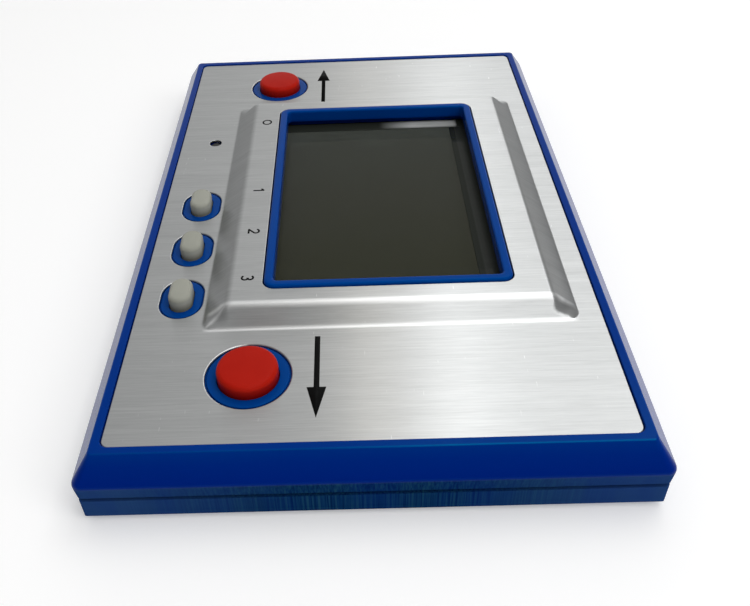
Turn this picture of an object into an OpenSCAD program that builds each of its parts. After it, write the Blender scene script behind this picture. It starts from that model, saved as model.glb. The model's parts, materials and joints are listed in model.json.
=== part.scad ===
// Pocket LCD game with a pressed metal face plate, two thumb buttons and three small keys.
// The back lies on z = 0, +X is the right end, +Y the top edge and +Z the face.

/* [Display] */
// Length of the window frame that shows in the face plate
window_l = 42.8; // [36:0.2:52]
// Width of the window frame that shows in the face plate
window_w = 29.4; // [24:0.2:36]
// Width of the frame's flat rim
frame_rim = 1.1; // [0.8:0.1:2]
// Height of the rim above the raised panel
frame_proud = 0.3; // [0:0.05:0.8]
// Depth of the lens below the rim
window_depth = 1.8; // [1.4:0.1:2.2]
// Outer corner radius of the window frame
frame_corner_r = 1.3; // [0.8:0.1:3]
// Thickness of the clear lens
lens_t = 1; // [0.6:0.1:1.2]
// Thickness of each sheet of display glass
glass_t = 0.7; // [0.4:0.05:0.8]
// Thickness of the polarizer and of the reflector
film_t = 0.2; // [0.1:0.02:0.3]
// Shift of the polarizer towards the keys
film_down = 0.8; // [0:0.1:1.2]
// Shift of the polarizer towards the right end
film_right = 0.8; // [0:0.1:1.2]
// Width of the contact ledge along both long sides of the front glass
glass_ledge = 3; // [2.4:0.1:4]

/* [Face plate] */
// Thickness of the metal sheet
plate_t = 0.3; // [0.2:0.05:0.6]
// Thickness of the adhesive film under the sheet
adhesive_t = 0.1; // [0.05:0.05:0.2]
// Corner radius of the sheet
plate_corner_r = 0.9; // [0.4:0.1:3]
// Gap between the sheet and the case border
plate_gap = 0.2; // [0.1:0.05:0.4]
// Height of the case border above the sheet
lip_h = 0.2; // [0:0.05:0.5]
// Height of the raised panel
panel_h = 2.1; // [1.4:0.1:2.4]
// Run of the slopes at the raised panel's ends
end_run = 2.25; // [1.8:0.05:4]
// Run of the slopes along the raised panel's long sides
side_run = 2.9; // [1.8:0.05:4]
// Flat of the raised panel beyond each end of the window frame
panel_end = 2.5; // [1.8:0.1:5]
// Flat of the raised panel above the window frame
panel_top = 3.95; // [3.4:0.05:8]
// Flat of the raised panel below the window frame
panel_bottom = 4.05; // [3.4:0.05:8]
// Flat of the sheet at each end, which holds a thumb button
end_zone = 16.35; // [15:0.05:26]
// Flat of the sheet above the raised panel
top_zone = 2.65; // [2:0.05:8]
// Flat of the sheet below the raised panel, which holds the small keys
key_zone = 8.15; // [7.4:0.05:14]
// Gap between the sheet and the rings of the case that fill its holes
ring_gap = 0.2; // [0.1:0.05:0.4]
// Depth of these rings below the sheet's top
ring_sunk = 0.1; // [0:0.05:0.3]

/* [Case] */
// Width from the sheet's edge to the widest line of the case
case_margin = 3; // [2.6:0.1:5]
// Distance that the front bevel leans in
bevel_run = 2; // [1:0.1:2.2]
// Height of the front bevel
bevel_h = 2.95; // [2:0.05:3.4]
// Distance that the side bands lean in below the widest line
side_draft = 0.3; // [0:0.05:0.6]
// Height of the split line above the back
split_z = 3.4; // [3:0.1:4]
// Height of the groove along the split line
groove_h = 0.35; // [0.1:0.05:0.6]
// Depth of the groove along the split line
groove_d = 0.5; // [0.2:0.05:0.8]
// Bevel round the back
back_bevel = 0.9; // [0.4:0.1:1.2]
// Corner radius of the case seen from the front
case_corner_r = 1.1; // [0.8:0.1:3]
// Corner radius of the rear case
rear_corner_r = 0.5; // [0.2:0.1:2]
// Thickness of the side walls
wall = 1.5; // [1.2:0.1:1.8]
// Thickness of the back
floor_t = 1.4; // [1.3:0.05:2]
// Thickness of the deck under the face plate
deck_t = 1.5; // [1.2:0.1:2]
// Width of the rear case's locating lip
lip_w = 0.7; // [0.5:0.05:1]
// Height of the rear case's locating lip above the split line
lip_rise = 0.8; // [0.4:0.1:1.2]
// Distance from the case's sides to the corner screws
screw_inset = 4.2; // [4:0.1:5]
// Shank radius of the case screws
screw_r = 0.85; // [0.6:0.05:1]

/* [Thumb buttons] */
// Radius of a thumb button
button_r = 3.35; // [2.5:0.05:4]
// Height of a thumb button above the face plate
button_proud = 1.6; // [0.9:0.05:3]
// Distance from the raised panel to a thumb button's middle
button_out = 7.15; // [6.5:0.05:8.5]
// Distance from the lower edge of the face plate to a thumb button's middle
button_up = 14.1; // [10:0.1:17]
// Rounding of a thumb button's top edge
button_round = 0.3; // [0.1:0.05:0.8]
// Gap between a thumb button and the hole in the face plate
button_well = 1.35; // [0.6:0.05:2]

/* [Small keys] */
// Length of a small key
key_l = 4.3; // [3.6:0.1:6]
// Width of a small key
key_w = 2.7; // [2:0.1:4]
// Height of a small key above the face plate
key_proud = 1.7; // [0.9:0.1:2.4]
// Distance between neighbouring keys
key_pitch = 9.6; // [9:0.1:11]
// Place of the first key along the case
first_key_x = 1.25; // [-2:0.05:3]
// Distance from the raised panel down to the keys' middle line
key_down = 3.05; // [2.8:0.05:4]
// Rounding of a key's top edge
key_round = 0.7; // [0.2:0.05:0.9]
// Gap between a key and the hole in the face plate
key_well = 1.35; // [0.6:0.05:1.6]
// Distance from the first key to the reset pin
reset_away = 16.85; // [14:0.05:20]
// Radius of the reset pin
reset_r = 0.7; // [0.5:0.05:1]
// Depth of the reset pin below the face plate
reset_sunk = 0.3; // [0.1:0.05:0.6]

/* [Key action] */
// Travel of the buttons and keys
travel = 0.8; // [0.5:0.05:1]
// Gap between a button and its guide hole
guide_gap = 0.2; // [0.1:0.05:0.3]
// Width of the flange that holds a button in the case
flange_w = 1; // [0.7:0.1:1.4]
// Thickness of the flange
flange_t = 0.7; // [0.5:0.05:0.9]
// Thickness of the rubber domes' foot
dome_foot_t = 0.35; // [0.2:0.05:0.5]

/* [Board] */
// Thickness of the circuit board
board_t = 1; // [0.8:0.1:1.2]
// Room for components between the back and the board
component_space = 2; // [1.8:0.1:2.3]
// Length of the processor
chip_l = 18; // [12:0.5:22]
// Width of the processor
chip_w = 12; // [8:0.5:16]
// Thickness of the processor
chip_t = 1.3; // [0.8:0.05:1.4]
// Distance between the processor's legs
leg_pitch = 1; // [0.8:0.1:1.6]
// Radius of the crystal's can
crystal_r = 0.85; // [0.6:0.05:0.88]
// Length of the crystal's can
crystal_l = 6; // [4:0.5:8]

/* [Power and sound] */
// Diameter of a button cell
cell_d = 11.6; // [9:0.1:12.4]
// Height of a button cell
cell_h = 4.2; // [4:0.1:5.4]
// Room between the cells and the deck for the contact springs
cell_headroom = 1.4; // [1.2:0.05:1.8]
// Thickness of the battery cover
cover_t = 0.9; // [0.85:0.05:1.1]
// Thickness of the battery springs and of the link
spring_t = 0.2; // [0.1:0.02:0.25]
// Diameter of the buzzer disc
buzzer_d = 20; // [14:0.5:22]
// Diameter of the buzzer's ceramic layer
ceramic_d = 14; // [8:0.5:14]
// Thickness of the buzzer disc
buzzer_t = 0.2; // [0.1:0.05:0.3]

/* [Hidden] */
$fn = 64;
// Clearances: a hair between seated faces, a slip fit, and air round loose pieces
hair = 0.05;
slip = 0.15;
air = 0.3;
// Length by which cutters run past what they cut
past = 1;

// Face plate and case, seen from the front
panel_l = window_l + 2 * panel_end;
panel_w = window_w + panel_top + panel_bottom;
panel_foot_l = panel_l + 2 * end_run;
panel_foot_w = panel_w + 2 * side_run;
plate_l = panel_foot_l + 2 * end_zone;
plate_w = panel_foot_w + top_zone + key_zone;
panel_y = (key_zone - top_zone) / 2;
window_y = panel_y + (panel_bottom - panel_top) / 2;
case_l = plate_l + 2 * case_margin;
case_w = plate_w + 2 * case_margin;
cavity_l = case_l - 2 * (side_draft + wall);
cavity_w = case_w - 2 * (side_draft + wall);
cavity_r = max(case_corner_r - wall, 0.5);

// Levels, from the back upwards
cell_z = cover_t + 2 * hair;
cell_top_z = cell_z + cell_h;
deck_under_z = cell_top_z + cell_headroom;
deck_z = deck_under_z + deck_t;
plate_z = deck_z + adhesive_t;
plate_top_z = plate_z + plate_t;
ring_z = plate_top_z - ring_sunk;
border_z = plate_top_z + lip_h;
widest_z = border_z - bevel_h;
board_z = floor_t + component_space;
board_top_z = board_z + board_t;
rim_z = plate_top_z + panel_h + frame_proud;
lens_top_z = rim_z - window_depth;
lens_z = lens_top_z - lens_t;
polarizer_z = lens_z - hair - film_t;
front_glass_z = polarizer_z - glass_t;
rear_glass_z = front_glass_z - glass_t;
reflector_z = rear_glass_z - film_t;

// Display stack
opening_l = window_l - 2 * frame_rim;
opening_w = window_w - 2 * frame_rim;
lens_lap = 0.9;
lens_l = opening_l + 2 * lens_lap;
lens_w = opening_w + 2 * lens_lap;
glass_end_lap = 1.4;
glass_side_lap = 1.8;
glass_l = lens_l + 2 * glass_end_lap;
glass_w = lens_w + 2 * glass_side_lap;
pocket_l = glass_l + 2 * air;
pocket_w = glass_w + 2 * air;
rear_glass_w = glass_w - 2 * glass_ledge;
film_inset = 0.3;
holder_wall = 1.2;
holder_l = pocket_l + 2 * holder_wall;
holder_w = pocket_w + 2 * holder_wall;
strip_edge = 0.5;
strip_w = glass_ledge - 2 * strip_edge;

// Buttons and keys
button_x = panel_foot_l / 2 + button_out;
button_y = button_up - plate_w / 2;
key_y = panel_y - panel_foot_w / 2 - key_down;
key_places = [for (i = [0:2]) [first_key_x + i * key_pitch, key_y]];
reset_place = [first_key_x - reset_away, key_y];
flange_top_z = deck_under_z - hair;
flange_z = flange_top_z - flange_t;
dome_h = flange_z - hair - board_top_z;
pad_t = 0.05;
pad_r = 0.7;

// Locating lip and board
lip_l = cavity_l - 2 * slip;
lip_across = cavity_w - 2 * slip;
board_l = lip_l - 2 * (lip_w + air);
board_w = lip_across - 2 * (lip_w + air);
board_screw_r = 0.7;
board_post_r = board_screw_r + 1;
board_head_r = board_screw_r + 0.8;
board_head_t = 0.7;
post_room = 1.2;
post_inset = 2;
board_posts = [
    [-(holder_l / 2 + board_post_r + post_room), holder_w / 2],
    [-(holder_l / 2 - post_inset), key_y],
    [key_places[2][0] + key_l / 2 + flange_w + board_post_r + post_room, key_y],
    [0, window_y + holder_w / 2 + board_post_r + post_room]
];
cap_size = [3.2, 1.6, 1.2];
cap_pitch = 6;
resistor_size = [2, 1.2, 0.6];
resistor_pitch = 4;
chip_room = 4;

// Case screws
screw_x = case_l / 2 - screw_inset;
screw_y = case_w / 2 - screw_inset;
screw_places = [for (i = [-1, 1], j = [-1, 1]) [i * screw_x, j * screw_y]];
post_r = screw_r + 1.2;
screw_head_r = screw_r + 0.9;
screw_head_t = 0.8;
screw_sunk = 0.25;
boss_rise = 1;
boss_z = floor_t + boss_rise;
// Blind end of the screw holes under the deck, and the room beyond the screws' tips
hole_end = 0.4;
tip_room = 0.2;
tip_z = deck_under_z - hole_end - tip_room;

// Battery bay: two cells side by side along Y
cell_fit = 0.2;
bay_wall = 0.8;
bay_r = cell_d / 2 + cell_fit;
bay_outer_r = bay_r + bay_wall;
bay_room = 1;
button_room = 4;
bay_x = holder_l / 2 + bay_room + bay_outer_r;
cell_pitch = cell_d + air;
bay_y = button_y + button_r + flange_w + button_room + bay_outer_r + cell_pitch / 2;
cell_places = [for (i = [-1, 1]) [bay_x, bay_y + i * cell_pitch / 2]];
bay_top_z = board_top_z - slip;
cover_half_w = bay_r + air;
cover_start_y = bay_y - cell_pitch / 2 - bay_r - 2 * air;
tongue_w = 0.5;
tongue_z = 0.4;
contact_w = 3;
contact_foot_x = bay_x + bay_outer_r + 2 * air;
contact_foot_l = 1.6;
contact_past = 1;
link_inset = 2;
link_half_w = cell_d / 2 - link_inset;

// Buzzer
buzzer_room = 2.4;
buzzer_up = 3;
buzzer_x = -(cavity_l / 2 - buzzer_d / 2 - buzzer_room);
buzzer_y = window_y + buzzer_up;
ceramic_t = 0.15;
buzzer_ring_h = 0.5;
buzzer_ring_w = 1;
buzzer_tab_w = 2;
buzzer_tab_l = 3;

// Rectangle with round corners
module rounded_rect(l, w, r) {
    square([l - 2 * r, w], center = true);
    square([l, w - 2 * r], center = true);
    for (i = [-1, 1], j = [-1, 1])
        translate([i * (l / 2 - r), j * (w / 2 - r)]) circle(r);
}

// Outline with round ends, as long as l along X
module round_ended(l, w) {
    square([l - w, w], center = true);
    for (i = [-1, 1]) translate([i * (l - w) / 2, 0]) circle(w / 2);
}

// Flat piece between two levels, from the outline given as its child
module slab(z0, z1) {
    translate([0, 0, z0]) linear_extrude(z1 - z0) children();
}

// Outline drawn in Y and Z, carried along X
module along_x(l) {
    rotate([90, 0, 90]) linear_extrude(l, center = true) children();
}

// Outline drawn in X and Z, carried along Y
module along_y(l) {
    rotate([90, 0, 0]) linear_extrude(l, center = true) children();
}

// Cross-section of the whole case, mirrored about its middle
function case_section(half) = [
    [half - side_draft - back_bevel, 0], [half - side_draft, back_bevel], [half - side_draft, split_z],
    [half, widest_z], [half - bevel_run, border_z], [-half + bevel_run, border_z], [-half, widest_z],
    [-half + side_draft, split_z], [-half + side_draft, back_bevel], [-half + side_draft + back_bevel, 0]
];

// Outer form of both halves, with mitred bevels and round corners
module case_form() {
    intersection() {
        along_x(case_l + 2 * past) polygon(case_section(case_w / 2));
        along_y(case_w + 2 * past) polygon(case_section(case_l / 2));
        slab(-past, border_z + past) rounded_rect(case_l, case_w, case_corner_r);
    }
}

// Horizontal shift of a sloping face when a sheet of thickness t lies over it
function slope_shift(t, run) = t * (sqrt(run * run + panel_h * panel_h) - run) / panel_h;

// Raised panel with sloping sides, under a sheet of thickness t
module panel_form(t, z0) {
    top_l = panel_l / 2 - slope_shift(t, end_run);
    top_w = panel_w / 2 - slope_shift(t, side_run);
    top_z = z0 + panel_h;
    translate([0, panel_y, 0]) intersection() {
        along_x(panel_foot_l + 2 * past)
            polygon([[-top_w - side_run, z0], [top_w + side_run, z0], [top_w, top_z], [-top_w, top_z]]);
        along_y(panel_foot_w + 2 * past)
            polygon([[-top_l - end_run, z0], [top_l + end_run, z0], [top_l, top_z], [-top_l, top_z]]);
    }
}

// Outlines of every hole over the buttons and keys, widened by the gaps given
module button_outlines(button_gap, key_gap, reset_gap) {
    for (i = [-1, 1]) translate([i * button_x, button_y]) circle(button_r + button_gap);
    for (p = key_places) translate(p) round_ended(key_l + 2 * key_gap, key_w + 2 * key_gap);
    translate(reset_place) circle(reset_r + reset_gap);
}

// Groove round the foot of the front case
module split_groove() {
    inset = side_draft + groove_d;
    difference() {
        slab(split_z - past, split_z + groove_h) square([2 * case_l, 2 * case_w], center = true);
        slab(split_z - 2 * past, split_z + past)
            rounded_rect(case_l - 2 * inset, case_w - 2 * inset, rear_corner_r);
    }
}

module front_case() {
    color("navy") difference() {
        union() {
            difference() {
                case_form();
                slab(-past, split_z) square([2 * case_l, 2 * case_w], center = true);
                split_groove();
                slab(deck_z, border_z + past) rounded_rect(plate_l + 2 * plate_gap, plate_w + 2 * plate_gap,
                    plate_corner_r + plate_gap);
                slab(split_z - past, deck_under_z) rounded_rect(cavity_l, cavity_w, cavity_r);
            }
            panel_form(plate_t + adhesive_t, deck_z);
            slab(deck_under_z + hair, ring_z)
                button_outlines(button_well - ring_gap, key_well - ring_gap, 0);
            translate([0, window_y])
                slab(deck_under_z, rim_z) rounded_rect(window_l, window_w, frame_corner_r);
            for (p = screw_places) translate(p) slab(boss_z + hair, deck_z) circle(post_r);
            for (p = board_posts) translate(p) slab(board_top_z + hair, deck_z) circle(board_post_r);
        }
        display_seat();
        slab(deck_under_z - past, deck_z + past) button_outlines(guide_gap, guide_gap, guide_gap);
        for (p = screw_places) translate(p) slab(boss_z, deck_under_z - hole_end) circle(screw_r + hair);
        for (p = board_posts) translate(p)
            slab(board_top_z, deck_under_z - hole_end) circle(board_screw_r + hair);
    }
}

// Room in the front case for the display glass, the lens and the view through the rim
module display_seat() {
    translate([0, window_y]) {
        slab(deck_under_z - past, deck_z + panel_h - deck_t) square([pocket_l, pocket_w], center = true);
        slab(deck_under_z - past, lens_top_z) square([lens_l + 2 * slip, lens_w + 2 * slip], center = true);
        slab(deck_under_z - past, rim_z + past) rounded_rect(opening_l, opening_w, frame_corner_r / 2);
    }
}

// Outline round both cells, with ends of radius r
module bay_outline(r) {
    rotate(90) round_ended(cell_pitch + 2 * r, 2 * r);
}

module rear_case() {
    color("midnightblue") difference() {
        union() {
            difference() {
                intersection() {
                    case_form();
                    slab(0, split_z - hair)
                        rounded_rect(case_l - 2 * side_draft, case_w - 2 * side_draft, rear_corner_r);
                }
                slab(floor_t, split_z + past) rounded_rect(cavity_l, cavity_w, cavity_r);
            }
            // Locating lip inside the front case, open round the corner posts
            difference() {
                slab(floor_t, split_z + lip_rise)
                    rounded_rect(lip_l, lip_across, cavity_r);
                slab(floor_t - past, split_z + lip_rise + past)
                    rounded_rect(lip_l - 2 * lip_w, lip_across - 2 * lip_w, cavity_r);
                for (p = screw_places) translate(p)
                    slab(boss_z, split_z + lip_rise + past) circle(post_r + air);
            }
            for (p = screw_places) translate(p) slab(0, boss_z) circle(post_r);
            translate([bay_x, bay_y])
                slab(cover_t, bay_top_z) bay_outline(bay_outer_r);
            translate([buzzer_x, buzzer_y]) difference() {
                slab(floor_t - hair, floor_t + buzzer_ring_h) circle(buzzer_d / 2 + buzzer_ring_w);
                slab(floor_t - past, floor_t + past) circle(buzzer_d / 2 + air);
            }
        }
        translate([bay_x, bay_y])
            slab(-past, bay_top_z + past) bay_outline(bay_r);
        cover_outline(slip, cover_t + hair);
        for (p = screw_places) translate(p) {
            slab(-past, screw_head_t + screw_sunk) circle(screw_head_r + slip);
            slab(0, boss_z + past) circle(screw_r + slip);
        }
    }
}

// Battery cover and its side tongues, or with a gap the seat that they slide in
module cover_outline(gap, top) {
    end_y = case_w / 2 + past;
    length = end_y - cover_start_y + gap;
    translate([bay_x, end_y - length / 2]) {
        slab(gap > 0 ? -past : 0, top) square([2 * (cover_half_w + gap), length], center = true);
        slab(tongue_z - gap, top) square([2 * (cover_half_w + tongue_w + gap), length], center = true);
    }
}

module battery_cover() {
    grip_count = 5;
    grip_pitch = 1.4;
    grip_depth = 0.3;
    grip_w = 0.7;
    grip_side = 2;
    link_room = link_half_w + slip;
    arrow_half = 2.2;
    arrow_l = 3;
    grip_y = bay_y + bay_outer_r + cell_pitch / 2;
    color("midnightblue") difference() {
        intersection() {
            case_form();
            cover_outline(0, cover_t);
        }
        for (i = [0:grip_count - 1])
            translate([bay_x, grip_y - i * grip_pitch])
                slab(-past, grip_depth) square([2 * (cover_half_w - grip_side), grip_w], center = true);
        translate([bay_x, grip_y + grip_pitch]) slab(-past, grip_depth)
            polygon([[-arrow_half, 0], [arrow_half, 0], [0, arrow_l]]);
        translate([bay_x, bay_y]) slab(cover_t - spring_t, cover_t + past)
            square([2 * link_room, cell_pitch + 2 * link_room], center = true);
    }
}

module battery_link() {
    color("silver") translate([bay_x, bay_y]) slab(cover_t - spring_t, cover_t)
        square([2 * link_half_w, cell_pitch + 2 * link_half_w], center = true);
}

// Button cell: a can with a chamfered foot and a smaller cap on a seal
module button_cell(p) {
    cap_h = 0.3;
    edge = 0.3;
    seal_w = 1.2;
    r = cell_d / 2;
    cap_r = r - seal_w;
    translate([p[0], p[1], cell_z]) rotate_extrude()
        polygon([[0, 0], [r - edge, 0], [r, edge], [r, cell_h - cap_h - edge], [r - edge, cell_h - cap_h],
            [cap_r, cell_h - cap_h], [cap_r, cell_h - edge / 2], [cap_r - edge / 2, cell_h], [0, cell_h]]);
}

module battery_cell_1() { color("gainsboro") button_cell(cell_places[0]); }

module battery_cell_2() { color("gainsboro") button_cell(cell_places[1]); }

// Spring strip: a foot on the board, a riser and an arm over the middle of a cell
module battery_spring(p) {
    arm_z = cell_top_z + hair;
    foot_x = contact_foot_x + contact_foot_l;
    tip_x = p[0] - contact_past;
    riser_x = contact_foot_x + spring_t;
    translate([0, p[1]]) along_y(contact_w)
        polygon([[foot_x, board_top_z], [foot_x, board_top_z + spring_t], [riser_x, board_top_z + spring_t],
            [riser_x, arm_z + spring_t], [tip_x, arm_z + spring_t], [tip_x, arm_z], [contact_foot_x, arm_z],
            [contact_foot_x, board_top_z]]);
}

module battery_spring_plus() { color("silver") battery_spring(cell_places[0]); }

module battery_spring_minus() { color("silver") battery_spring(cell_places[1]); }

module face_plate() {
    color("lightgray") difference() {
        union() {
            slab(plate_z, plate_top_z) rounded_rect(plate_l, plate_w, plate_corner_r);
            panel_form(0, plate_top_z);
        }
        panel_form(plate_t, plate_z);
        translate([0, panel_y]) slab(plate_z - past, plate_z)
            square([panel_foot_l, panel_foot_w], center = true);
        slab(plate_z - past, plate_top_z + past) button_outlines(button_well, key_well, guide_gap);
        translate([0, window_y]) slab(plate_z - past, rim_z + past)
            rounded_rect(window_l + 2 * slip, window_w + 2 * slip, frame_corner_r + slip);
    }
}

module plate_adhesive() {
    inset = 1;
    color("ivory") slab(deck_z, plate_z) difference() {
        rounded_rect(plate_l - 2 * inset, plate_w - 2 * inset, plate_corner_r);
        translate([0, panel_y]) square([panel_foot_l + 2 * inset, panel_foot_w + 2 * slip], center = true);
        button_outlines(button_well + slip, key_well + slip, guide_gap + slip);
    }
}

module display_window() {
    color("lightcyan") translate([0, window_y])
        slab(lens_z, lens_top_z) square([lens_l, lens_w], center = true);
}

module lcd_front_polarizer() {
    // A little off the window's middle, so a strip of bare glass shows beside it
    color("darkslategray") translate([film_right, window_y - film_down])
        slab(polarizer_z, polarizer_z + film_t)
            square([opening_l, opening_w - 2 * film_inset], center = true);
}

module lcd_front_glass() {
    color("lightcyan") translate([0, window_y]) slab(front_glass_z, polarizer_z)
        square([glass_l, glass_w], center = true);
}

module lcd_rear_glass() {
    color("lightcyan") translate([0, window_y]) slab(rear_glass_z, front_glass_z)
        square([glass_l, rear_glass_w], center = true);
}

module lcd_reflector() {
    color("gray") translate([0, window_y]) slab(reflector_z, rear_glass_z)
        square([opening_l, rear_glass_w], center = true);
}

module lcd_holder() {
    color("white") translate([0, window_y]) {
        difference() {
            slab(board_top_z, deck_under_z - hair) square([holder_l, holder_w], center = true);
            slab(board_top_z - past, deck_under_z + past) square([pocket_l, pocket_w], center = true);
        }
        // Rails that carry the reflector and keep the connector strips upright
        for (j = [-1, 1])
            translate([0, j * (rear_glass_w / 2 - holder_wall / 2)])
                slab(board_top_z, reflector_z) square([pocket_l, holder_wall], center = true);
    }
}

// Rubber strip from the board to the ledge of the front glass
module connector_strip(side) {
    color("dimgray") translate([0, window_y + side * (glass_w / 2 - glass_ledge / 2)])
        slab(board_top_z, front_glass_z) square([glass_l - 2, strip_w], center = true);
}

module connector_strip_upper() { connector_strip(1); }

module connector_strip_lower() { connector_strip(-1); }

module circuit_board() {
    color("darkgreen") difference() {
        slab(board_z, board_top_z) square([board_l, board_w], center = true);
        for (p = screw_places) translate(p) slab(board_z - past, board_top_z + past) circle(post_r + air);
        for (p = board_posts) translate(p)
            slab(board_z - past, board_top_z + past) circle(board_screw_r + slip);
        translate([bay_x, bay_y]) slab(board_z - past, board_top_z + past) bay_outline(bay_outer_r + air);
    }
}

// Carbon pads under the domes
module contact_pads() {
    places = concat([for (i = [-1, 1]) [i * button_x, button_y]], key_places, [reset_place]);
    color("black") for (p = places) translate(p) slab(board_top_z, board_top_z + pad_t) circle(pad_r);
}

module processor_chip() {
    color("black") translate([0, window_y]) slab(board_z - slip - chip_t, board_z - slip)
        square([chip_l, chip_w], center = true);
}

// One leg reaches out of the chip's side along +X and turns up to the board
module chip_leg() {
    t = 0.15;
    reach = 1.5;
    mid_z = board_z - slip - chip_t / 2;
    along_y(leg_pitch * 0.45)
        polygon([[0, mid_z], [reach / 2 + t, mid_z], [reach / 2 + t, board_z - t], [reach, board_z - t],
            [reach, board_z], [reach / 2, board_z], [reach / 2, mid_z + t], [0, mid_z + t]]);
}

// Row of legs along a side of the given length
module leg_row(side, out) {
    end_room = 1;
    count = floor((side - end_room) / leg_pitch);
    for (i = [0:count - 1]) translate([out, (i - (count - 1) / 2) * leg_pitch]) chip_leg();
}

module chip_legs() {
    color("silver") translate([0, window_y]) for (turn = [0, 180]) {
        rotate(turn) leg_row(chip_w, chip_l / 2);
        rotate(turn + 90) leg_row(chip_l, chip_w / 2);
    }
}

module crystal() {
    x = -chip_l / 2 - chip_room;
    y = window_y - chip_w / 2 - chip_room;
    color("silver") translate([x, y, board_z - hair - crystal_r]) rotate([0, 90, 0])
        cylinder(h = crystal_l, r = crystal_r, center = true);
}

// Row of block components soldered under the board, centred on x = 0
module blocks(y, size, count, pitch) {
    for (i = [0:count - 1]) translate([(i - (count - 1) / 2) * pitch, y])
        slab(board_z - size[2], board_z) square([size[0], size[1]], center = true);
}

module capacitors() {
    color("tan") blocks(window_y + chip_w / 2 + chip_room, cap_size, 3, cap_pitch);
}

module resistors() {
    color("saddlebrown") blocks(window_y - chip_w / 2 - chip_room, resistor_size, 4, resistor_pitch);
}

// Half of a cap's cross-section: a block with a softened top edge, on its flange
module cap_section(half, soft, top_z) {
    translate([0, flange_z]) square([half, top_z - flange_z - soft]);
    translate([0, flange_z]) square([half - soft, top_z - flange_z]);
    translate([0, flange_z]) square([half + flange_w, flange_t]);
    intersection() {
        translate([half - soft, top_z - soft]) circle(soft);
        square([half, top_z]);
    }
}

module thumb_button(side) {
    color("firebrick") translate([side * button_x, button_y])
        rotate_extrude() cap_section(button_r, button_round, plate_top_z + button_proud);
}

module left_button() { thumb_button(-1); }

module right_button() { thumb_button(1); }

// Key with round ends: a straight middle between two half turns of the same section
module small_key(p) {
    end_x = (key_l - key_w) / 2;
    top_z = plate_top_z + key_proud;
    color("silver") translate(p) {
        along_x(2 * end_x) for (j = [0, 1]) mirror([j, 0]) cap_section(key_w / 2, key_round, top_z);
        for (turn = [0, 180]) rotate(turn) translate([end_x, 0]) rotate(-90)
            rotate_extrude(angle = 180) cap_section(key_w / 2, key_round, top_z);
    }
}

module select_key_1() { small_key(key_places[0]); }

module select_key_2() { small_key(key_places[1]); }

module clock_key() { small_key(key_places[2]); }

module reset_button() {
    color("black") translate(reset_place) {
        slab(flange_z, plate_top_z - reset_sunk) circle(reset_r);
        slab(flange_z, flange_top_z) circle(reset_r + flange_w);
    }
}

// Hollow rubber dome: its foot lies on the board, and its roof comes down on the pad when pressed
module rubber_dome(p, foot_r) {
    roof = pad_t + travel;
    top_r = foot_r * 0.55;
    side_skin = 0.2;
    foot_w = 0.8;
    foot_step = 0.5;
    color("gray") translate([p[0], p[1], board_top_z]) rotate_extrude()
        polygon([[0, dome_h], [top_r, dome_h], [foot_r - foot_step, dome_foot_t], [foot_r, dome_foot_t],
            [foot_r, 0], [foot_r - foot_w, 0], [top_r - side_skin, roof], [0, roof]]);
}

module left_dome() { rubber_dome([-button_x, button_y], button_r); }

module right_dome() { rubber_dome([button_x, button_y], button_r); }

module select_dome_1() { rubber_dome(key_places[0], key_w / 2 + flange_w); }

module select_dome_2() { rubber_dome(key_places[1], key_w / 2 + flange_w); }

module clock_dome() { rubber_dome(key_places[2], key_w / 2 + flange_w); }

module reset_dome() { rubber_dome(reset_place, reset_r + flange_w); }

module buzzer_disc() {
    color("gold") translate([buzzer_x, buzzer_y]) slab(floor_t, floor_t + buzzer_t) circle(buzzer_d / 2);
}

module buzzer_ceramic() {
    color("white") translate([buzzer_x, buzzer_y])
        slab(floor_t + buzzer_t, floor_t + buzzer_t + ceramic_t) circle(ceramic_d / 2);
}

// Bent strips from the board down to the disc and to its ceramic
module buzzer_spring(y, low_z) {
    back_x = buzzer_tab_l / 2;
    translate([buzzer_x, buzzer_y + y]) along_y(buzzer_tab_w)
        polygon([[-back_x, board_z], [back_x, board_z], [back_x, low_z], [-back_x, low_z],
            [-back_x, low_z + spring_t], [back_x - spring_t, low_z + spring_t],
            [back_x - spring_t, board_z - spring_t], [-back_x, board_z - spring_t]]);
}

module buzzer_springs() {
    color("silver") {
        buzzer_spring(0, floor_t + buzzer_t + ceramic_t);
        buzzer_spring((buzzer_d + ceramic_d) / 4, floor_t + buzzer_t);
    }
}

// Screw with a domed head at the bottom and its shank upwards
module screw(head_z, head_r, head_t, r, tip_z) {
    slab(head_z, head_z + head_t) difference() {
        circle(head_r);
        for (a = [0, 90]) rotate(a) square([head_r * 1.1, head_r * 0.22], center = true);
    }
    slab(head_z + head_t / 2, head_z + head_t) circle(head_r);
    slab(head_z + head_t / 2, tip_z) circle(r);
}

module case_screws() {
    color("silver") for (p = screw_places) translate(p)
        screw(screw_sunk - hair, screw_head_r, screw_head_t, screw_r, tip_z);
}

module board_screws() {
    color("silver") for (p = board_posts) translate(p)
        screw(board_z - board_head_t, board_head_r, board_head_t, board_screw_r, tip_z);
}

front_case();
rear_case();
face_plate();
plate_adhesive();
display_window();
lcd_front_polarizer();
lcd_front_glass();
lcd_rear_glass();
lcd_reflector();
lcd_holder();
connector_strip_upper();
connector_strip_lower();
circuit_board();
contact_pads();
processor_chip();
chip_legs();
crystal();
capacitors();
resistors();
left_button();
right_button();
select_key_1();
select_key_2();
clock_key();
reset_button();
left_dome();
right_dome();
select_dome_1();
select_dome_2();
clock_dome();
reset_dome();
battery_cover();
battery_link();
battery_cell_1();
battery_cell_2();
battery_spring_plus();
battery_spring_minus();
buzzer_disc();
buzzer_ceramic();
buzzer_springs();
case_screws();
board_screws();
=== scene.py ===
import json
import math

import bmesh
import bpy
import numpy as np
from mathutils import Matrix, Vector
from mathutils.geometry import delaunay_2d_cdt


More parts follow.
